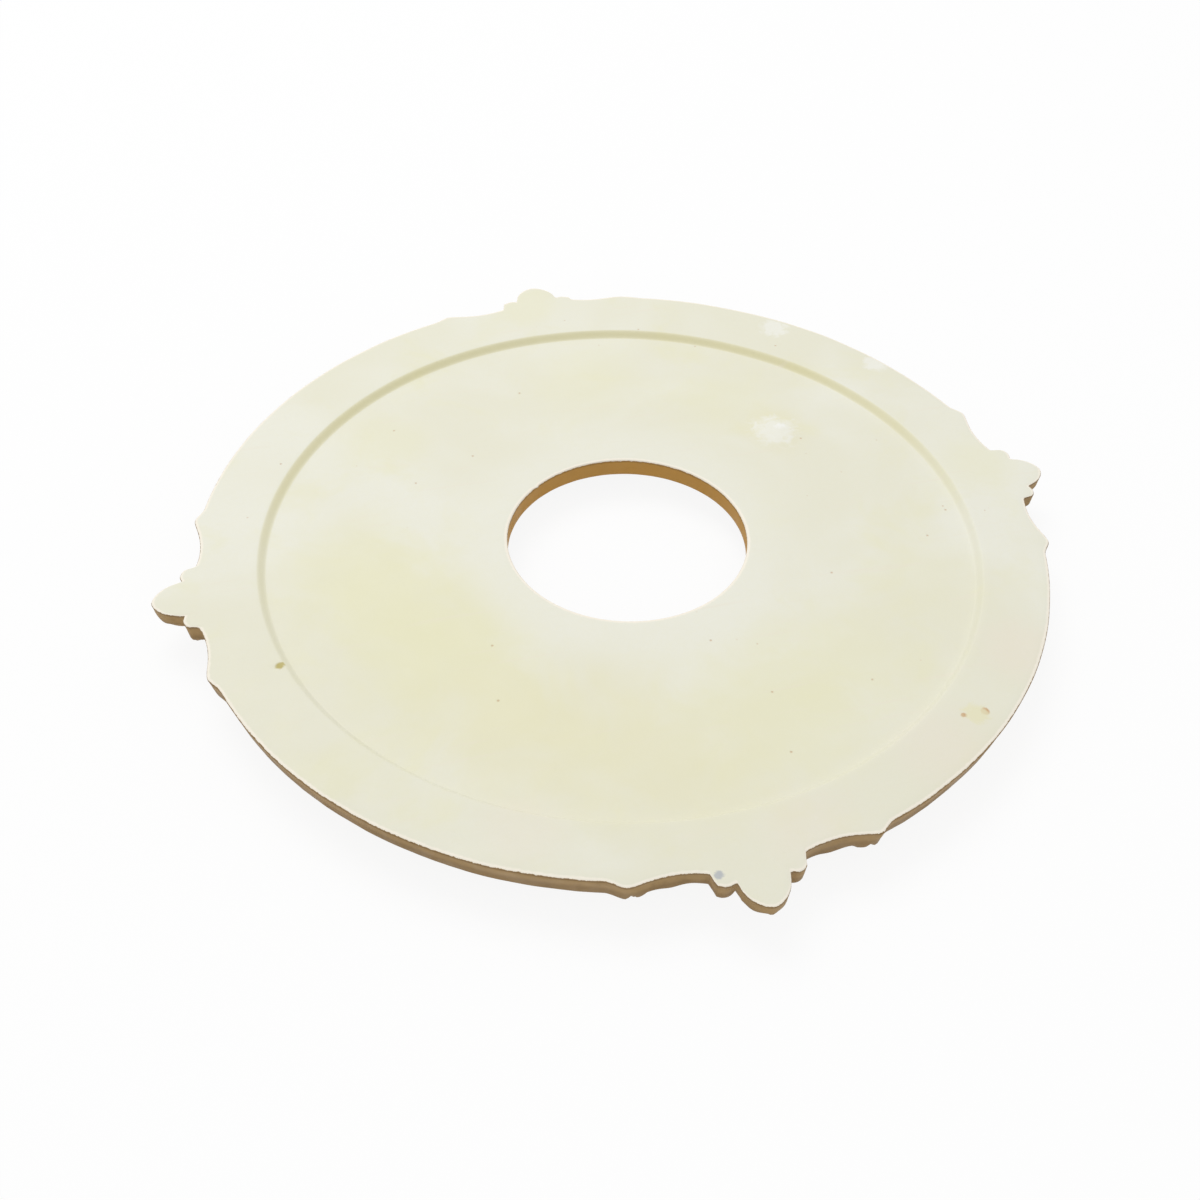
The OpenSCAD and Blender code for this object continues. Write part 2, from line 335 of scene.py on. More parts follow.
def rib_relief(base, x, y):
    """Depth of the rounded rib that follows the scroll's hollow side."""
    turn = HOLLOW_AT / RIM_R
    centre = RIM_R - HOLLOW_BITE + HOLLOW_R
    dx, dy = x - centre * math.cos(turn), y - centre * math.sin(turn)
    ring = HOLLOW_R + 0.4 + RIB_R
    away = np.abs(np.hypot(dx, dy) - ring)
    angle = np.arctan2(dy, -dx) + turn
    end = math.asin((CUSP_AT - BOSS_BACK - HOLLOW_AT) / ring)
    belly = 2.0 * bump(angle - 0.12, 0.13)
    rib = RIB_T - RIB_R + belly + half_round(away, RIB_R) - 0.5 * bump(away - 1.7, 0.6)
    rib = rib - 5.0 * smoothstep(end, end + 0.05, np.abs(angle))
    return soft_max(base, rib, 0.8)


def rim_leaf_relief(base, x, y, tip, thick):
    """Depth of the leaf that stands out past the rim."""
    length = RIM_R + tip - HUB_R + 6.0
    s = x - (HUB_R - 6.0)
    to_tip = (s - length + LEAF_REACH) / LEAF_REACH
    rounded = LEAF_HALF_W * np.sqrt(np.clip(1.0 - to_tip**2, 0.0, 1.0))
    width = np.where(s < length - LEAF_REACH, LEAF_HALF_W, rounded)
    q = np.clip(np.abs(y) / np.maximum(width, 0.5), 0.0, 1.0)
    along = (s - 0.4 * length) / (0.6 * length)
    crown = LEAF_T * thick - (LEAF_FALL - 0.6) * along**2 * thick
    rough = np.abs(y) / LEAF_HALF_W
    groove = 1.0 - np.sqrt(np.abs(np.sin(math.pi * (s / 8.0 - 0.8 * rough))))
    furrow = RIM_LEAF_CUTS.furrow * bump(np.abs(y) - 2.2, 0.8)
    crown = crown - RIM_LEAF_CUTS.groove * groove * smoothstep(0.15, 0.6, rough)
    crown = crown + RIM_LEAF_CUTS.vein * bump(y, 1.1) - furrow
    height = base + (crown - base) * np.sqrt(1.0 - q**4)
    return np.where((s > 0.0) & (q < 1.0), np.maximum(height, base), base)


def front_depth(r, angle):
    """Depth of the whole front at a radius and an angle."""
    index, local = group_frame(angle)
    gx, gy = r * np.cos(angle), r * np.sin(angle)
    local = local - per_group(index, "shift") / RIM_R
    local = local + HAND_TURN * HAND(gx, gy)
    x, y = r * np.cos(local), r * np.sin(local)
    far = np.abs(y)
    bead = BEAD_D + half_round(r - BEAD_C, BEAD_R) - BEAD_SINK * (1.0 - bead_share(angle))
    depth = soft_max(moulding_depth(r), bead, 0.6)
    trail_s, trail_t = np.abs(local) * RIM_R - TRAIL_FROM, r - (COVE_C - COVE_R / 2.0)
    depth = leaf_relief(depth, trail_s, trail_t, TRAIL_LEAF)
    s, t = turned(x, far, HUB_R, HUB_SPREAD, SIDE_LEAF_TURN)
    depth = leaf_relief(depth, s, t, SIDE_LEAF)
    depth = leaf_relief(depth, HUB_R - x, y, MIDDLE_LEAF)
    thick = per_group(index, "thick")
    depth = rim_leaf_relief(depth, x, y, per_group(index, "tip"), thick)
    depth = rib_relief(depth, x, far)
    boss_c = RIM_R + 0.6 - BOSS_R
    depth = button_relief(depth, x, far, CUSP_AT - BOSS_BACK, boss_c, BOSS_R, BOSS_T)
    knob_c = RIM_R + per_group(index, "shoulder") - KNOB_R
    depth = button_relief(depth, x, far, KNOB_AT, knob_c, KNOB_R, KNOB_T * thick)
    depth = depth + FRONT_H * FRONT_WAVES(gx, gy)
    return np.minimum(depth, -LOWEST)


# ---------------- mesh: closed rows round the rose

# Points round the rose, each with its distance past the back's border and its shares of
# bore and of the step's tint, a stain and painted shade
Row = namedtuple("Row", "angle r z under bore slope")
FRONT_UNDER, BORE_UNDER = 20.0, 12.0


def columns(fine, coarse, reach):
    """Angles round the rose, with fine steps within reach of a group and coarse ones between.

    The steps and the reach are in degrees, the angles in radians.
    """
    half = math.radians(reach)
    quarter = math.radians(GROUP_TURN)
    near = np.linspace(-half, half, int(round(2.0 * reach / fine)) + 1)
    steps = int(round((GROUP_TURN - 2.0 * reach) / coarse))
    gap = np.linspace(half, quarter - half, steps + 1)[1:-1]
    one = np.concatenate([near[near >= 0.0], gap, near[near < 0.0] + quarter])
    return np.concatenate([one + i * quarter for i in range(len(GROUPS))])


PLAIN = np.linspace(0.0, 2.0 * math.pi, 360, endpoint=False)
CARVED = columns(fine=0.3, coarse=1.0, reach=21.0)


def back_height(x, y):
    """Unevenness of the back, and its dents."""
    height = BACK_H * BACK_WAVES(x, y) + GRAIN_H * BACK_GRAIN(x, y) - BACK_H
    for d in DENTS:
        away = np.hypot(x - d.x * RIM_R, y - d.y * RIM_R)
        height = height + d.rise * np.exp(-(away / d.width)**4)
    return height


def level(r, angle):
    """Unevenness of the back at a radius and an angle."""
    return back_height(r * np.cos(angle), r * np.sin(angle))


def row(angle, r, z, under, bore=0.0, slope=0.0):
    """One closed row. under is negative on the bare back, and grows down the side."""
    full = np.ones_like(angle)
    return Row(angle, r * full, z * full, under * full, bore * full, slope * full)


def hole_edge(angle):
    """Radius of the hole, a little ragged where the flash was cut off."""
    x, y = HOLE_R * np.cos(angle), HOLE_R * np.sin(angle)
    far_side = smoothstep(0.2, 0.9, np.sin(angle))
    return HOLE_R + (NICK_H + NICK_MORE * far_side) * EDGE_WAVES(4.0 * x, 4.0 * y)


def burr(angle):
    """How far a sliver of flash stands into the hole at the back's edge."""
    return BURR_REACH * bump(angle - BURR_AT, BURR_W)


def off_centre(angle):
    """How far the recess's step lies out of the rim's centre at each angle."""
    return STEP_OFF[0] * np.cos(angle) + STEP_OFF[1] * np.sin(angle)


def floor_rows():
    """The recessed floor, from the hole to the foot of the step."""
    rows = []
    a = PLAIN
    edge = hole_edge(a)
    for r in np.linspace(HOLE_R + EDGE_ROUND, FLOOR_R - STEP_LIP, 42):
        lean = math.exp(-(r - HOLE_R) / 3.0)
        radius = r + (edge - HOLE_R - burr(a)) * lean
        radius = radius + off_centre(a) * smoothstep(HOLE_R + 10.0, FLOOR_R - 5.0, r)
        rows.append(row(a, radius, -RECESS + level(radius, a), HOLE_R - r))
    return rows


def step_rows():
    """The step up to the rim, tinted darker on its far side by a stain and painted shade."""
    rows = []
    a = PLAIN
    # Stain and painted shade: strongest on the far side, where the step faces away from the lamp
    stain = STEP_STAIN_AND_SHADE * smoothstep(-0.5, 0.7, np.sin(a))
    for t in np.linspace(0.0, 1.0, 12)[1:]:
        r = FLOOR_R - STEP_LIP + (STEP_RUN + 2.0 * STEP_LIP) * t + off_centre(a)
        z = -RECESS * (1.0 - smoothstep(0.0, 1.0, t)) + level(r, a)
        rows.append(row(a, r, z, HOLE_R - r, slope=stain * math.sin(math.pi * t)**0.5))
    return rows


def rim_rows():
    """The flat rim, to just short of the outer edge."""
    rows = []
    a = CARVED
    edge = outline(a)
    for t in np.linspace(0.0, 1.0, 7):
        r = RIM_START_R + (RIM_TURN_R - RIM_START_R) * t + off_centre(a) * (1.0 - t)
        rows.append(row(a, r, level(r, a), r - edge))
    for t in (0.25, 0.45, 0.62, 0.76, 0.88, 0.96, 1.0):
        r = RIM_TURN_R + (edge - EDGE_ROUND - RIM_TURN_R) * t
        rows.append(row(a, r, level(r, a) - EDGE_DROOP * t**6, r - edge))
    return rows


def plate_side(foot):
    """Insets and depths down a group's plate, from its rounded edge to its foot."""
    low = foot - 0.9
    depths = [EDGE_ROUND + (low - EDGE_ROUND) * t for t in np.linspace(0, 1, 6)]
    side = [(SIDE_SLOPE * d, d) for d in depths]
    inset = SIDE_SLOPE * low
    return side + [(inset + 0.25, foot - 0.3), (inset + 0.9, foot)]


def bead_side():
    """Insets and depths down the plain rim's side: a straight slant, then the bead."""
    slant = [(BEAD_INSET * t, EDGE_ROUND + (BEAD_D - EDGE_ROUND) * t)
        for t in np.linspace(0.0, 1.0, 5)]
    bead = [(BEAD_INSET + BEAD_R * (1.0 - math.cos(t)), BEAD_D + BEAD_R * math.sin(t))
        for t in np.radians((18.0, 35.0, 50.0))]
    return slant + bead


def side_path(share, foot):
    """Insets and depths down the side: the plate's within a group, the bead's on the plain rim."""
    return [(i1 * (1.0 - share) + i2 * share, d1 * (1.0 - share) + d2 * share)
        for (i1, d1), (i2, d2) in zip(plate_side(foot), bead_side())]


def side_sizes(angle):
    """The outer edge's radius, and the insets and depths down the side."""
    edge = outline(angle)
    return edge, side_path(bead_share(angle), front_depth(edge - FOOT_INSET, angle))


def edge_rows():
    """The rounded outer edge: down the side and round to the front."""
    rows = []
    a = CARVED
    edge, path = side_sizes(a)
    top = level(edge, a) - EDGE_DROOP
    for t in np.radians((25.0, 50.0, 75.0)):
        r = edge - EDGE_ROUND * (1.0 - math.sin(t))
        rows.append(row(a, r, top - EDGE_ROUND * (1.0 - math.cos(t)), EDGE_ROUND * t))
    for k, (inset, depth) in enumerate(path):
        fade = math.sin(math.pi * k / len(path))
        wave = SIDE_H * EDGE_WAVES(3.0 * a * RIM_R, 6.0 * depth) * fade
        z = -depth + top * (1.0 - k / (len(path) - 1.0))
        rows.append(row(a, edge - inset + wave, z, depth + EDGE_ROUND * 0.5))
    return rows


def relief_rows():
    """The carved part of the front, from the outer edge inwards."""
    rows = []
    a = CARVED
    edge, path = side_sizes(a)
    edge = edge - path[-1][0]
    for t in np.linspace(0.0, 1.0, 18)[1:-1]:
        r = edge + (FRONT_TURN_R - edge) * t
        rows.append(row(a, r, -front_depth(r, a), FRONT_UNDER))
    for r in np.linspace(FRONT_TURN_R, RELIEF_IN_R, 44):
        rows.append(row(a, r, -front_depth(np.full_like(a, r), a), FRONT_UNDER))
    return rows


def arc_points(centre_r, centre_d, radius, start, stop, steps):
    """Points (radius, depth) on a round moulding, by angle from the outward direction."""
    turns = np.radians(np.linspace(start, stop, steps))
    return [(centre_r + radius * math.cos(t), centre_d + radius * math.sin(t)) for t in turns]


def hole_profile():
    """Radius and depth of the mouldings from the plain field to the hole."""
    field = [(r, FIELD_D) for r in np.linspace(RELIEF_IN_R - 3.0, STEP_OUT_R + 0.5, 10)]
    step = [(STEP_OUT_R + 0.15, FIELD_D + 0.15), (STEP_OUT_R, STEP_D - 0.15),
        (STEP_OUT_R - 0.3, STEP_D)]
    low = math.degrees(math.asin((COLLAR_D - RING_D) / RING_R))
    lift = math.degrees(math.asin((STEP_D - RING_D) / RING_R))
    ring = arc_points(RING_C, RING_D, RING_R, lift, 180.0 - low, 17)
    collar = [(HOLE_R + COLLAR_W * t, COLLAR_D) for t in (0.85, 0.5, 0.2)]
    return field + step + ring + collar


def front_rows():
    """The plain field and the mouldings about the hole."""
    rows = []
    a = PLAIN
    for r, depth in hole_profile():
        wave = TURNED_H * FRONT_WAVES(r * np.cos(a), r * np.sin(a))
        rows.append(row(a, r, -depth - wave, FRONT_UNDER))
    return rows


def bore_rows():
    """The hole's wall, from the front back to the bare back."""
    rows = []
    a = PLAIN
    edge = hole_edge(a)
    soft = EDGE_ROUND
    for t in (0.0, 45.0):
        out, down = math.cos(math.radians(t)), math.sin(math.radians(t))
        z = -COLLAR_D + soft * down * 0.3
        rows.append(row(a, edge + soft * out, z, BORE_UNDER, bore=1.0))
    top = -RECESS + level(edge, a)
    for t in np.linspace(0.0, 1.0, 6):
        z = -COLLAR_D + soft + (top - soft * 0.6 + COLLAR_D - soft) * t
        wave = BORE_H * EDGE_WAVES(5.0 * a * HOLE_R, 5.0 * z) * math.sin(math.pi * t)
        rows.append(row(a, edge + wave, z, top - z, bore=1.0))
    rows.append(row(a, edge + soft * 0.3 - burr(a), top - soft * 0.18, 0.1, bore=1.0))
    return rows


def stitch_same(first, second, count):
    """Quads between two rows that have the same angles."""
    return [(first + i, second + i, second + (i + 1) % count, first + (i + 1) % count)
        for i in range(count)]


def stitch_other(first, angles_a, second, angles_b):
    """Triangles between two rows that have different angles."""
    faces = []
    i = j = 0
    na, nb = len(angles_a), len(angles_b)
    turn_a = np.append(angles_a, angles_a[0] + 2.0 * math.pi)
    turn_b = np.append(angles_b, angles_b[0] + 2.0 * math.pi)
    while i < na or j < nb:
        step_a = turn_a[i + 1] if i < na else math.inf
        step_b = turn_b[j + 1] if j < nb else math.inf
        if step_a <= step_b:
            faces.append((first + i, second + j % nb, first + (i + 1) % na))
            i += 1
        else:
            faces.append((first + i % na, second + j, second + (j + 1) % nb))
            j += 1
    return faces


def stitch(rows):
    """Faces between each row and the next, and from the last row back to the first."""
    starts = np.cumsum([0] + [len(r.angle) for r in rows])
    faces = []
    for k, now in enumerate(rows):
        after = (k + 1) % len(rows)
        if len(now.angle) == len(rows[after].angle):
            faces += stitch_same(starts[k], starts[after], len(now.angle))
        else:
            faces += stitch_other(starts[k], now.angle, starts[after], rows[after].angle)
    return [tuple(int(v) for v in f) for f in faces]


def rose_mesh():
    """One closed mesh of the whole rose, with the values that the material reads."""
    rows = floor_rows() + step_rows() + rim_rows() + edge_rows()
    rows += relief_rows() + front_rows() + bore_rows()
    angle, r, z, under, bore, slope = (
        np.concatenate([getattr(w, name) for w in rows]) for name in Row._fields)
    points = np.column_stack([r * np.cos(angle), r * np.sin(angle), z]) * MM
    mesh = bpy.data.meshes.new("rose")
    mesh.from_pydata(points.tolist(), [], stitch(rows))
    mesh.update()
    add_attribute(mesh, "under", under)
    add_attribute(mesh, "bore", bore)
    add_attribute(mesh, "slope", slope)
    add_attribute(mesh, "hollow", hollowness(angle, r, under))
    mesh.polygons.foreach_set("use_smooth", [True] * len(mesh.polygons))
    return mesh


def hollowness(angle, r, under):
    """How deep a point of the front lies among its neighbours: 0 on a crest, 1 in a groove."""
    here = front_depth(r, angle)
    reach = 2.0
    around = [front_depth(r + reach * math.cos(t), angle + reach * math.sin(t) / RIM_R)
        for t in np.linspace(0.0, 2.0 * math.pi, 6, endpoint=False)]
    sunk = sum(around) / len(around) - here
    carved = (under > FRONT_UNDER - 1.0) & (r > RELIEF_IN_R)
    share = np.where(carved, smoothstep(2.0, 6.0, outline(angle) - r), 0.0)
    return 0.5 + np.clip(0.35 * sunk, -0.5, 0.5) * share


def add_attribute(mesh, name, values):
    layer = mesh.attributes.new(name, "FLOAT", "POINT")
    layer.data.foreach_set("value", values.astype(np.float32))


# ---------------- materials

class Graph:
    """Short calls that add shader nodes to one material."""

    def __init__(self, name):
        self.material = bpy.data.materials.new(name)
        self.material.use_nodes = True
        self.tree = self.material.node_tree
        self.tree.nodes.clear()
        self.place = self.add("ShaderNodeTexCoord").outputs["Object"]

    def add(self, kind, **settings):
        node = self.tree.nodes.new(kind)
        for key, value in settings.items():
            setattr(node, key, value)
        return node

    def put(self, socket, value):
        """Sets a socket to a plain value, or links another node's output to it."""
        if isinstance(value, bpy.types.NodeSocket):
            self.tree.links.new(value, socket)
        elif isinstance(value, tuple) and len(value) == 3 and socket.type == "RGBA":
            socket.default_value = (*value, 1.0)
        else:
            socket.default_value = value

    def math(self, operation, a, b=0.0):
        node = self.add("ShaderNodeMath", operation=operation)
        self.put(node.inputs[0], a)
        self.put(node.inputs[1], b)
        return node.outputs[0]

    def ramp(self, value, low, high, to_low=0.0, to_high=1.0):
        """A smooth step of a value from one range to another."""
        node = self.add("ShaderNodeMapRange", interpolation_type="SMOOTHSTEP")
        for name, item in zip(("Value", "From Min", "From Max", "To Min", "To Max"),
                (value, low, high, to_low, to_high)):
            self.put(node.inputs[name], item)
        return node.outputs["Result"]

    def mix(self, amount, a, b):
        node = self.add("ShaderNodeMix", data_type="RGBA")
        self.put(node.inputs[0], amount)
        self.put(node.inputs[6], a)
        self.put(node.inputs[7], b)
        return node.outputs[2]

    def noise(self, scale, detail=2.0, rough=0.5, warp=0.0):
        node = self.add("ShaderNodeTexNoise")
        self.put(node.inputs["Vector"], self.place)
        self.put(node.inputs["Scale"], scale)
        self.put(node.inputs["Detail"], detail)
        self.put(node.inputs["Roughness"], rough)
        self.put(node.inputs["Distortion"], warp)
        return node.outputs["Fac"]

    def fray(self, noise, height):
        """A noise moved to lie about zero, which frays a border."""
        return self.math("MULTIPLY", self.math("SUBTRACT", noise, 0.5), height)

    def streaks(self, scale):
        """Noise drawn out along the rose's x direction."""
        node = self.add("ShaderNodeMapping")
        self.put(node.inputs["Vector"], self.place)
        self.put(node.inputs["Scale"], Vector(scale))
        noise = self.add("ShaderNodeTexNoise")
        self.put(noise.inputs["Vector"], node.outputs[0])
        self.put(noise.inputs["Scale"], 1.0)
        self.put(noise.inputs["Detail"], 3.0)
        return noise.outputs["Fac"]

    def cells(self, scale):
        node = self.add("ShaderNodeTexVoronoi")
        self.put(node.inputs["Vector"], self.place)
        self.put(node.inputs["Scale"], scale)
        return node

    def attribute(self, name):
        return self.add("ShaderNodeAttribute", attribute_name=name).outputs["Fac"]

    def distance(self, point):
        """Distance from a place on the rose, in metres."""
        node = self.add("ShaderNodeVectorMath", operation="DISTANCE")
        self.put(node.inputs[0], self.place)
        self.put(node.inputs[1], Vector(point))
        return node.outputs["Value"]

    def bump(self, height, strength, distance, under=None):
        node = self.add("ShaderNodeBump")
        self.put(node.inputs["Height"], height)
        self.put(node.inputs["Strength"], strength)
        self.put(node.inputs["Distance"], distance)
        if under is not None:
            self.put(node.inputs["Normal"], under)
        return node.outputs["Normal"]


# Bare resin, its stains, the paint, and the colours of a painted highlight and painted shade
CREAM = (0.814, 0.799, 0.658)
CHALK = (0.845, 0.838, 0.735)
BUTTER = (0.815, 0.795, 0.54)
STRAW = (0.812, 0.780, 0.530)
PALE = (0.88, 0.875, 0.80)
WHITE = (0.93, 0.93, 0.90)
# Painted highlight for the bare rounded edge of the back, paler than the resin
BARE_EDGE_HIGHLIGHT = (0.96, 0.90, 0.78)
TAN = (0.405, 0.262, 0.108)
TAN_HIGH = (0.56, 0.37, 0.17)
# Dark glaze of the paint, also used for painted shade low on the side
GLAZE_AND_SHADE = (0.145, 0.078, 0.028)
OCHRE = (0.60, 0.325, 0.068)
RUST = (0.55, 0.26, 0.08)
SLATE = (0.42, 0.45, 0.50)
ROSE = (0.84, 0.775, 0.655)
OLIVE = (0.80, 0.745, 0.43)
MUSTARD = (0.50, 0.42, 0.12)

Stain = namedtuple("Stain", "x y width colour strength")
# Below this width a stain has a firm middle and a torn edge; above it, it fades out
SMALL_STAIN = 0.1
STAIN_END = 1.2
# Blotches, scuffs and specks of the back: place and width in rim radii
STAINS = (
    Stain(-0.63, 0.02, 0.22, BUTTER, 0.60),
    Stain(-0.54, -0.14, 0.26, BUTTER, 0.65),
    Stain(-0.47, -0.32, 0.26, BUTTER, 0.65),
    Stain(-0.40, -0.50, 0.22, STRAW, 0.60),
    Stain(-0.22, -0.60, 0.25, STRAW, 0.55),
    Stain(-0.05, -0.72, 0.22, STRAW, 0.50),
    Stain(0.16, -0.60, 0.26, BUTTER, 0.60),
    Stain(0.38, -0.51, 0.24, BUTTER, 0.45),
    Stain(0.62, -0.30, 0.20, BUTTER, 0.25),
    Stain(-0.51, 0.48, 0.13, BUTTER, 0.35),
    Stain(0.05, 0.63, 0.20, BUTTER, 0.35),
    Stain(0.37, 0.47, 0.20, BUTTER, 0.35),
    Stain(0.93, 0.05, 0.12, BUTTER, 0.35),
    Stain(-0.04, 0.97, 0.10, BUTTER, 0.35),
    Stain(0.76, -0.59, 0.11, ROSE, 0.55),
    Stain(0.48, -0.81, 0.13, ROSE, 0.45),
    Stain(0.14, -0.93, 0.12, ROSE, 0.35),
    Stain(-0.42, -0.80, 0.10, ROSE, 0.30),
    Stain(0.474, 0.310, 0.105, OLIVE, 0.22),
    Stain(0.474, 0.310, 0.066, PALE, 0.85),
    Stain(0.492, 0.320, 0.018, WHITE, 0.8),
    Stain(0.61, 0.733, 0.040, PALE, 0.9),
    Stain(0.83, 0.513, 0.034, PALE, 0.9),
    Stain(-0.078, -0.996, 0.010, SLATE, 0.8),
    Stain(0.600, -0.731, 0.011, RUST, 0.9),
    Stain(0.551, -0.731, 0.007, RUST, 0.8),
    Stain(0.578, -0.732, 0.030, STRAW, 0.8),
    Stain(0.318, -0.770, 0.008, RUST, 0.8),
    Stain(0.347, 0.130, 0.007, RUST, 0.9),
    Stain(-0.170, -0.337, 0.006, RUST, 0.7),
    Stain(-0.830, -0.251, 0.011, MUSTARD, 0.9),
)


def resin_colour(g):
    """Bare cream resin in wide and middling patches."""
    wide = g.noise(9.0, 3.0, 0.55, 0.6)
    colour = g.mix(g.ramp(wide, 0.38, 0.66), CREAM, CHALK)
    middle = g.noise(24.0, 4.0, 0.6, 0.4)
    return g.mix(g.ramp(middle, 0.50, 0.78, 0.0, 0.55), colour, BUTTER)


def with_stains(g, colour, ragged, torn):
    """A colour with the back's stains laid over it."""
    for stain in STAINS:
        far = g.distance((stain.x * RIM_R * MM, stain.y * RIM_R * MM, 0.0))
        far = g.math("DIVIDE", far, stain.width * RIM_R * MM)
        far = g.math("ADD", far, torn if stain.width < SMALL_STAIN else ragged)
        middle = 0.65 - 2.5 * min(stain.width, 0.2)
        amount = g.ramp(far, middle, STAIN_END, stain.strength, 0.0)
        colour = g.mix(amount, colour, stain.colour)
    return colour


def with_fine_marks(g, colour):
    """A colour with streaks, grain and rust specks over it, and where the specks are."""
    streaks = g.ramp(g.streaks((14.0, 260.0, 40.0)), 0.60, 0.78, 0.0, 0.35)
    colour = g.mix(streaks, colour, ROSE)
    grain = g.noise(420.0, 3.0, 0.7)
    colour = g.mix(g.ramp(grain, 0.30, 0.75, 0.0, 0.10), colour, STRAW)
    cells = g.cells(150.0)
    near = g.ramp(cells.outputs["Distance"], 0.04, 0.11, 1.0, 0.0)
    chance = g.math("FRACT", g.math("MULTIPLY", cells.outputs["Color"], 7.0))
    specks = g.math("MULTIPLY", near, g.ramp(chance, 0.90, 0.93))
    return g.mix(g.math("MULTIPLY", specks, 0.45), colour, RUST), specks


def back_colour(g):
    """The bare back, cleaner round the hole, with stain and painted shade on the step, and its
    specks.
    """
    colour = resin_colour(g)
    ragged = g.fray(g.noise(26.0, 4.0, 0.6, 0.8), 1.1)
    torn = g.fray(g.noise(240.0, 4.0, 0.6, 0.8), 1.7)
    colour = with_stains(g, colour, ragged, torn)
    from_hole = g.math("ADD", g.distance((0.0, 0.0, 0.0)), g.math("MULTIPLY", ragged, 0.012))
    clean = g.ramp(from_hole, (HOLE_R + 4.0) * MM, (HOLE_R + 32.0) * MM, 0.8, 0.0)
    colour = g.mix(clean, colour, CHALK)
    # The step's tint: a yellow stain and painted shade
    colour = g.mix(g.attribute("slope"), colour, OLIVE)
    return with_fine_marks(g, colour)


def paint_colour(g, sunk, bore):
    """Tan paint, dark with glaze in the grooves and rubbed lighter on the crests."""
    patch = g.noise(38.0, 4.0, 0.6, 0.5)
    colour = g.mix(g.ramp(patch, 0.35, 0.70, 0.0, 0.40), TAN, TAN_HIGH)
    colour = g.mix(g.ramp(g.noise(140.0, 3.0, 0.6), 0.50, 0.78, 0.0, 0.32), colour, GLAZE_AND_SHADE)
    # The bore's warmer ochre: partly thicker paint, partly painted light bounced from the cream
    # back
    colour = g.mix(g.math("MULTIPLY", bore, 0.9), colour, OCHRE)
    groove = g.ramp(g.math("ADD", sunk, g.math("MULTIPLY", patch, 0.2)), 0.58, 0.88, 0.0, 0.85)
    colour = g.mix(groove, colour, GLAZE_AND_SHADE)
    crest = g.ramp(sunk, 0.42, 0.15, 0.0, 0.6)
    return g.mix(crest, colour, TAN_HIGH)


def casting_colour(g, under, bore, border, painted, back, paint):
    """Bare back and paint, with a painted highlight and a dark line along the border."""
    # Painted highlight: the bare rounded edge of the back is drawn paler than the resin
    edge_highlight = g.ramp(border, -1.8, -0.7, 0.0, 0.95)
    colour = g.mix(painted, g.mix(edge_highlight, back, BARE_EDGE_HIGHLIGHT), paint)
    # Painted shade: darker towards the lower edge of the side, not in the bore
    low = g.math("MULTIPLY", g.ramp(under, 4.0, 7.5), g.ramp(under, 11.0, 15.0, 0.35, 0.0))
    low = g.math("MULTIPLY", low, g.math("SUBTRACT", 1.0, bore))
    colour = g.mix(low, colour, GLAZE_AND_SHADE)
    line = g.math("MULTIPLY", g.ramp(border, 0.60, 0.80), g.ramp(border, 1.0, 1.9, 0.45, 0.0))
    return g.mix(line, colour, GLAZE_AND_SHADE)


def casting_roughness(g, painted):
    """Patchy dullness, a little different on the bare resin and the paint."""
    resin = g.ramp(g.noise(60.0, 3.0, 0.6), 0.3, 0.7, 0.50, 0.66)
    paint = g.ramp(g.noise(90.0, 3.0, 0.6), 0.3, 0.7, 0.50, 0.68)
    rough = g.add("ShaderNodeMix", data_type="FLOAT")
    g.put(rough.inputs[0], painted)
    g.put(rough.inputs[2], resin)
    g.put(rough.inputs[3], paint)
    return rough.outputs[0]


def casting_normal(g, painted, specks):
    """Fine unevenness of the surface, its pits, and the edge of the paint."""
    wide = g.bump(g.noise(45.0, 3.0, 0.55), 0.35, 0.0006)
    fine = g.bump(g.noise(700.0, 3.0, 0.65), 0.30, 0.00015, wide)
    pitted = g.bump(g.math("SUBTRACT", 1.0, specks), 0.6, 0.0003, fine)
    return g.bump(painted, 0.5, 0.00012, pitted)


def rose_material():
    """The whole casting: bare back, painted rest, and a chipped border between them."""
    g = Graph("rose_casting")
    under, bore, hollow = (g.attribute(n) for n in ("under", "bore", "hollow"))
    back, specks = back_colour(g)
    paint = paint_colour(g, hollow, bore)
    jag = g.fray(g.noise(620.0, 3.0, 0.7), 1.3)
    border = g.math("ADD", under, jag)
    painted = g.ramp(border, 0.55, 0.72)
    colour = casting_colour(g, under, bore, border, painted, back, paint)
    shader = g.add("ShaderNodeBsdfPrincipled")
    g.put(shader.inputs["Base Color"], colour)
    g.put(shader.inputs["Roughness"], casting_roughness(g, painted))
    g.put(shader.inputs["Specular IOR Level"], 0.28)
    g.put(shader.inputs["Normal"], casting_normal(g, painted, specks))
    out = g.add("ShaderNodeOutputMaterial")
    g.put(out.inputs["Surface"], shader.outputs[0])
    return g.material


# How much of the floor shows as plain white, its own white, and its gap and size in metres
FLOOR_GLOW = 0.90
FLOOR_WHITE = (0.92, 0.92, 0.92)
FLOOR_GAP = 0.0003
FLOOR_SIZE = 40.0


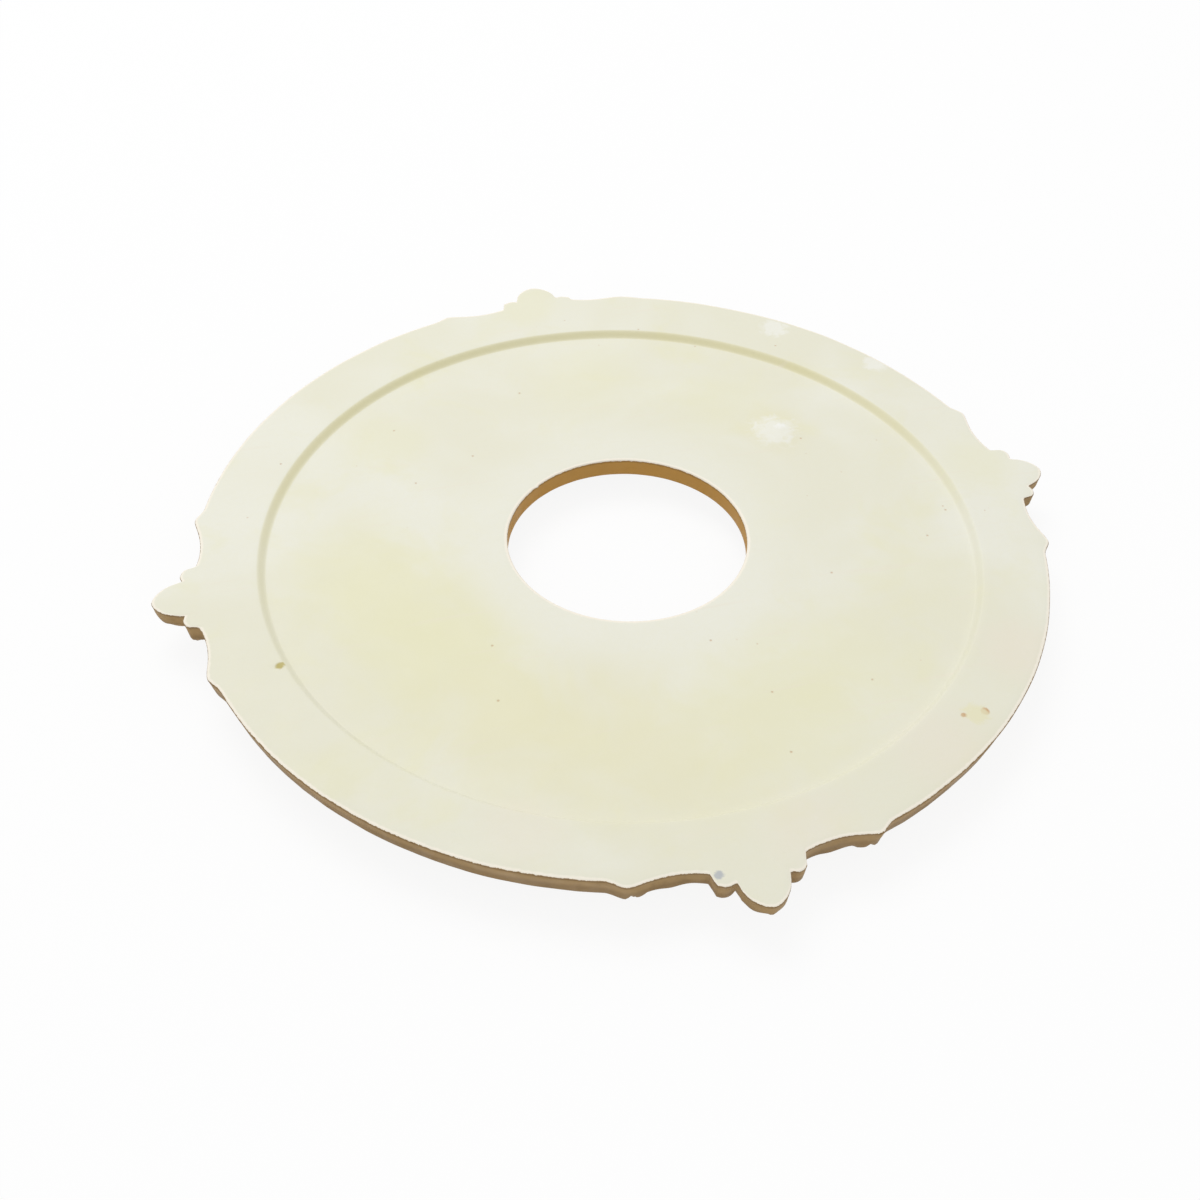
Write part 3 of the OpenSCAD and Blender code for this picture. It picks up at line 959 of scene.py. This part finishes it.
def floor_material():
    """A white floor: it shows white to the eye and in reflections, and keeps the rose's shadow."""
    g = Graph("floor_white")
    diffuse = g.add("ShaderNodeBsdfDiffuse")
    g.put(diffuse.inputs["Color"], FLOOR_WHITE)
    glow = g.add("ShaderNodeEmission")
    g.put(glow.inputs["Strength"], 1.0)
    path = g.add("ShaderNodeLightPath")
    seen = g.math("MAXIMUM", path.outputs["Is Camera Ray"], path.outputs["Is Glossy Ray"])
    seen = g.math("MAXIMUM", seen, path.outputs["Is Transmission Ray"])
    both = g.add("ShaderNodeMixShader")
    g.put(both.inputs[0], g.math("MULTIPLY", seen, FLOOR_GLOW))
    g.put(both.inputs[1], diffuse.outputs[0])
    g.put(both.inputs[2], glow.outputs[0])
    out = g.add("ShaderNodeOutputMaterial")
    g.put(out.inputs["Surface"], both.outputs[0])
    return g.material


# ---------------- piece and stage

def add_rose():
    rose = bpy.data.objects.new("rose", rose_mesh())
    bpy.context.scene.collection.objects.link(rose)
    rose.data.materials.append(rose_material())
    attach(rose, "root")
    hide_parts("ceiling_rose")


def add_floor():
    half = FLOOR_SIZE / 2.0
    z = LOW.z - FLOOR_GAP
    mesh = bpy.data.meshes.new("floor")
    corners = [(sx * half, sy * half, z) for sx, sy in ((-1, -1), (1, -1), (1, 1), (-1, 1))]
    mesh.from_pydata(corners, [], [(0, 1, 2, 3)])
    floor = bpy.data.objects.new("floor", mesh)
    bpy.context.scene.collection.objects.link(floor)
    mesh.materials.append(floor_material())


# Strength of the sky; the lamp's place and size in metres and its power in watts
SKY = 0.62
LAMP_FROM = (-0.3, 0.9, 2.0)
LAMP_SIZE = 1.6
LAMP_POWER = 22.0


def add_sky():
    """An even sky that lights the rose and shows as plain white."""
    world = bpy.data.worlds.new("studio")
    bpy.context.scene.world = world
    world.use_nodes = True
    tree = world.node_tree
    tree.nodes.clear()
    path = tree.nodes.new("ShaderNodeLightPath")
    light, white = (tree.nodes.new("ShaderNodeBackground") for _ in range(2))
    light.inputs["Strength"].default_value = SKY
    both = tree.nodes.new("ShaderNodeMixShader")
    tree.links.new(path.outputs["Is Camera Ray"], both.inputs[0])
    tree.links.new(light.outputs[0], both.inputs[1])
    tree.links.new(white.outputs[0], both.inputs[2])
    for background in (light, white):
        background.inputs["Color"].default_value = (1.0, 1.0, 1.0, 1.0)
    white.inputs["Strength"].default_value = 1.0
    out = tree.nodes.new("ShaderNodeOutputWorld")
    tree.links.new(both.outputs[0], out.inputs["Surface"])


def add_lamp():
    """One large soft lamp from above."""
    lamp = bpy.data.lights.new("soft_lamp", "AREA")
    lamp.shape = "DISK"
    lamp.size = LAMP_SIZE
    lamp.energy = LAMP_POWER
    holder = bpy.data.objects.new("soft_lamp", lamp)
    holder.location = LAMP_FROM
    holder.rotation_euler = (-Vector(LAMP_FROM)).to_track_quat("-Z", "Y").to_euler()
    bpy.context.scene.collection.objects.link(holder)


# Camera, in rim radii: where it stands and the point of the back plane that it looks at
CAMERA_AT = (-0.7127, -2.5524, 2.3622)
LOOK_AT = (0.1006, -0.2762, 0.0)
CAMERA_ROLL = 4.51
LENS, SENSOR_W = 44.76, 36.0
NEAREST = 0.02
SHIFT = (-0.0847, 0.0023)


def add_camera():
    data = bpy.data.cameras.new("camera")
    data.lens = LENS
    data.sensor_width = SENSOR_W
    data.shift_x, data.shift_y = SHIFT
    data.clip_start = NEAREST
    camera = bpy.data.objects.new("camera", data)
    scale = RIM_R * MM
    camera.location = Vector(CAMERA_AT) * scale
    look = Vector(LOOK_AT) * scale - camera.location
    roll = Quaternion((0.0, 0.0, 1.0), math.radians(CAMERA_ROLL))
    camera.rotation_mode = "QUATERNION"
    camera.rotation_quaternion = look.to_track_quat("-Z", "Y") @ roll
    bpy.context.scene.collection.objects.link(camera)
    bpy.context.scene.camera = camera


add_rose()
add_floor()
add_sky()
add_lamp()
add_camera()
bpy.context.scene.view_settings.view_transform = "Standard"
